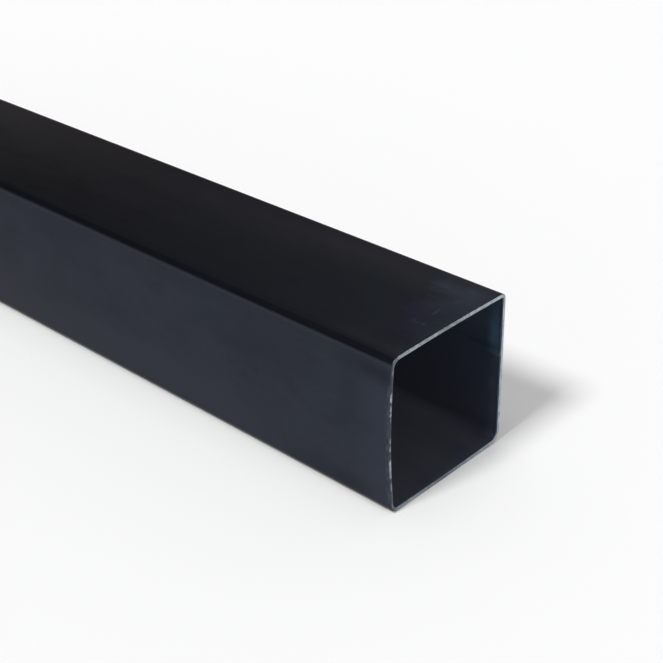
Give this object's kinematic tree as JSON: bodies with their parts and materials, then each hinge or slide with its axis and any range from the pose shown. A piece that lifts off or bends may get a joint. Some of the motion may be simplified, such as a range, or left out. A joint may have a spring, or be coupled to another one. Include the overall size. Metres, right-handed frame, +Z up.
{
  "type": "square steel tube",
  "caption": "Straight length of thin-walled square steel tube with rounded corners, square-cut open ends and a weld bead inside.",
  "frame": {"origin": "middle of the underside, halfway between the two cut ends", "axes": "+X along the tube, +Z up from the face that it lies on, +Y across it towards the wall with the weld seam"},
  "size_m": [0.5, 0.06, 0.06],
  "materials": {
    "rolled_steel": "dark blue-black rolled surface, lightly oiled, with bare bright metal on the sawn ends"
  },
  "bodies": {
    "root": {"tube": "rolled_steel"}
  },
  "joints": []
}
